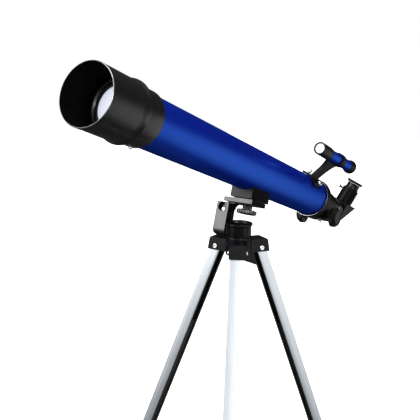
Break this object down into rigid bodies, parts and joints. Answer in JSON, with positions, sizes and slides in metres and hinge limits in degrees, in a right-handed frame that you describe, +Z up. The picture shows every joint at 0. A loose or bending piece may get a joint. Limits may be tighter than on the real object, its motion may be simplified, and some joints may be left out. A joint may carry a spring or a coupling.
{
  "type": "telescope on tripod",
  "caption": "Small blue refracting telescope with side finder and right-angle eyepiece, on a tilting mount over a folding aluminium tripod",
  "frame": {"origin": "centre of the bounding box at floor level, under the three soles", "axes": "+Z is up; the objective points towards -Y, tilted up 18.2 degrees; +X completes a right-handed frame along the tilt axis"},
  "size_m": [0.4583, 0.7198, 0.8938],
  "materials": {
    "black_plastic": "satin",
    "black_inside": "matte",
    "blue_metal": "gloss",
    "chrome": "polished",
    "aluminium": "satin",
    "dark_aluminium": "satin",
    "steel": "satin",
    "black_metal": "satin",
    "glass": "polished",
    "mirror": "polished",
    "rubber": "matte"
  },
  "bodies": {
    "tripod": {"tripod_hub": "black_plastic", "leg_bolt_1": "chrome", "leg_bolt_2": "chrome", "leg_bolt_3": "chrome", "azimuth_bolt": "steel", "azimuth_nut": "steel"},
    "turret": {"turret": "black_plastic", "turret_cap": "black_plastic", "pivot_nut": "steel"},
    "telescope": {"altitude_arm": "black_plastic", "arm_screw": "chrome", "pivot_bolt": "steel", "tube_saddle": "black_plastic", "dew_shield": "black_plastic", "lens_cell": "black_plastic", "lens_retaining_ring": "black_plastic", "objective_lens": "glass", "main_tube": "blue_metal", "light_baffle": "black_inside", "collar_screw": "chrome", "focuser_housing": "black_plastic", "finder_bracket": "black_plastic", "finder_tube": "blue_metal", "finder_objective_cell": "black_plastic", "finder_objective_lens": "glass", "finder_eyepiece": "black_plastic"},
    "clamp_knob": {"saddle_clamp_knob": "black_plastic"},
    "focus_knobs": {"pinion_shaft": "steel", "focus_knob_left": "black_plastic", "focus_knob_right": "black_plastic"},
    "drawtube": {"focus_drawtube": "black_metal"},
    "tension_screw": {"focus_tension_screw": "chrome"},
    "diagonal": {"diagonal_housing": "black_plastic", "diagonal_mirror": "mirror"},
    "set_screw": {"eyepiece_set_screw": "chrome"},
    "eyepiece": {"eyepiece_body": "black_metal", "eye_lens": "glass", "eyecup": "rubber"},
    "finder_screw_1": {"finder_thumbscrew_1": "chrome"},
    "finder_screw_2": {"finder_thumbscrew_2": "chrome"},
    "spreader_hub": {"spreader_hub": "black_plastic"},
    "leg_1": {"upper_leg_1": "aluminium", "leg_clamp_1": "black_plastic"},
    "lower_leg_1": {"lower_leg_1": "dark_aluminium", "foot_1": "rubber"},
    "lock_knob_1": {"leg_lock_knob_1": "black_plastic"},
    "spreader_arm_1": {"spreader_arm_1": "aluminium"},
    "leg_2": {"upper_leg_2": "aluminium", "leg_clamp_2": "black_plastic"},
    "lower_leg_2": {"lower_leg_2": "dark_aluminium", "foot_2": "rubber"},
    "lock_knob_2": {"leg_lock_knob_2": "black_plastic"},
    "spreader_arm_2": {"spreader_arm_2": "aluminium"},
    "leg_3": {"upper_leg_3": "aluminium", "leg_clamp_3": "black_plastic"},
    "lower_leg_3": {"lower_leg_3": "dark_aluminium", "foot_3": "rubber"},
    "lock_knob_3": {"leg_lock_knob_3": "black_plastic"},
    "spreader_arm_3": {"spreader_arm_3": "aluminium"}
  },
  "joints": [
    {"name": "azimuth_turn", "type": "hinge", "parent": "tripod", "child": "turret", "pos_m": [0.0665, -0.0387, 0.6651], "axis": [0, 0, 1], "continuous": true},
    {"name": "altitude_tilt", "type": "hinge", "parent": "turret", "child": "telescope", "pos_m": [0.0665, -0.0387, 0.6651], "axis": [-1, 0, 0], "range_deg": [-38.2, 36.8]},
    {"name": "clamp_turn", "type": "hinge", "parent": "telescope", "child": "clamp_knob", "pos_m": [0.0665, -0.02806, 0.6616], "axis": [0, -0.3123, -0.95], "range_deg": [0, 180]},
    {"name": "focus_turn", "type": "hinge", "parent": "telescope", "child": "focus_knobs", "pos_m": [0.0665, 0.23648, 0.64337], "axis": [1, 0, 0], "range_deg": [-286.5, 343.8]},
    {"name": "focus_slide", "type": "slide", "parent": "telescope", "child": "drawtube", "axis": [0, 0.95, -0.3123], "range_m": [-0.03, 0.025]},
    {"name": "tension_turn", "type": "hinge", "parent": "telescope", "child": "tension_screw", "pos_m": [0.0665, 0.25256, 0.66282], "axis": [0, -0.3123, -0.95], "range_deg": [0, 180]},
    {"name": "diagonal_turn", "type": "hinge", "parent": "drawtube", "child": "diagonal", "pos_m": [0.0665, 0.31602, 0.64195], "axis": [0, 0.95, -0.3123], "continuous": true},
    {"name": "set_screw_turn", "type": "hinge", "parent": "diagonal", "child": "set_screw", "pos_m": [0.08126, 0.33883, 0.67291], "axis": [-0.7306, -0.4927, 0.4727], "range_deg": [0, 180]},
    {"name": "eyepiece_slide", "type": "slide", "parent": "diagonal", "child": "eyepiece", "axis": [0.3746, 0.2896, 0.8808], "range_m": [0, 0.02]},
    {"name": "finder_screw_turn_1", "type": "hinge", "parent": "telescope", "child": "finder_screw_1", "pos_m": [0.0665, 0.14977, 0.69661], "axis": [0.342, 0.2935, 0.8927], "range_deg": [0, 180]},
    {"name": "finder_screw_turn_2", "type": "hinge", "parent": "telescope", "child": "finder_screw_2", "pos_m": [0.0665, 0.14977, 0.69661], "axis": [0.8988, 0.1369, 0.4164], "range_deg": [0, 180]},
    {"name": "leg_fold_1", "type": "hinge", "parent": "tripod", "child": "leg_1", "pos_m": [0.08148, -0.06607, 0.6411], "axis": [0.8771, 0.4802, 0], "range_deg": [0, 20.2]},
    {"name": "leg_extend_1", "type": "slide", "parent": "leg_1", "child": "lower_leg_1", "axis": [0.1776, -0.3243, -0.9291], "range_m": [-0.08, 0.36]},
    {"name": "lock_turn_1", "type": "hinge", "parent": "leg_1", "child": "lock_knob_1", "pos_m": [0.18252, -0.25061, 0.11243], "axis": [0.4462, -0.815, 0.3697], "range_deg": [0, 180]},
    {"name": "spreader_arm_turn_1", "type": "hinge", "parent": "leg_1", "child": "spreader_arm_1", "pos_m": [0.16536, -0.21926, 0.17247], "axis": [0.8771, 0.4802, 0], "range_deg": [0, 26.27]},
    {"name": "leg_fold_2", "type": "hinge", "parent": "tripod", "child": "leg_2", "pos_m": [0.08271, -0.01204, 0.6411], "axis": [-0.8545, 0.5195, 0], "range_deg": [0, 20.2]},
    {"name": "leg_extend_2", "type": "slide", "parent": "leg_2", "child": "lower_leg_2", "axis": [0.1921, 0.3159, -0.9291], "range_m": [-0.08, 0.36]},
    {"name": "lock_turn_2", "type": "hinge", "parent": "leg_2", "child": "lock_knob_2", "pos_m": [0.19201, 0.16773, 0.11243], "axis": [0.4827, 0.7939, 0.3697], "range_deg": [0, 180]},
    {"name": "spreader_arm_turn_2", "type": "hinge", "parent": "leg_2", "child": "spreader_arm_2", "pos_m": [0.17344, 0.13719, 0.17247], "axis": [-0.8545, 0.5195, 0], "range_deg": [0, 26.27]},
    {"name": "leg_fold_3", "type": "hinge", "parent": "tripod", "child": "leg_3", "pos_m": [0.03531, -0.03799, 0.6411], "axis": [-0.0227, -0.9997, 0], "range_deg": [0, 20.2]},
    {"name": "leg_extend_3", "type": "slide", "parent": "leg_3", "child": "lower_leg_3", "axis": [-0.3697, 0.0084, -0.9291], "range_m": [-0.08, 0.36]},
    {"name": "lock_turn_3", "type": "hinge", "parent": "leg_3", "child": "lock_knob_3", "pos_m": [-0.17502, -0.03322, 0.11243], "axis": [-0.9289, 0.0211, 0.3697], "range_deg": [0, 180]},
    {"name": "spreader_arm_turn_3", "type": "hinge", "parent": "leg_3", "child": "spreader_arm_3", "pos_m": [-0.1393, -0.03403, 0.17247], "axis": [-0.0227, -0.9997, 0], "range_deg": [0, 26.27]},
    {"name": "spreader_slide", "type": "slide", "parent": "tripod", "child": "spreader_hub", "axis": [0, 0, 1], "range_m": [0, 0.0558]}
  ],
  "couplings": [
    {"joint": "focus_turn", "follows": "focus_slide", "rad_per_m": -200},
    {"joint": "spreader_arm_turn_1", "follows": "leg_fold_1", "ratio": 1.2982},
    {"joint": "spreader_arm_turn_2", "follows": "leg_fold_1", "ratio": 1.2982},
    {"joint": "leg_fold_2", "follows": "leg_fold_1", "ratio": 1},
    {"joint": "spreader_arm_turn_3", "follows": "leg_fold_1", "ratio": 1.2982},
    {"joint": "leg_fold_3", "follows": "leg_fold_1", "ratio": 1},
    {"joint": "spreader_slide", "follows": "leg_fold_1", "m_per_rad": 0.15781}
  ]
}
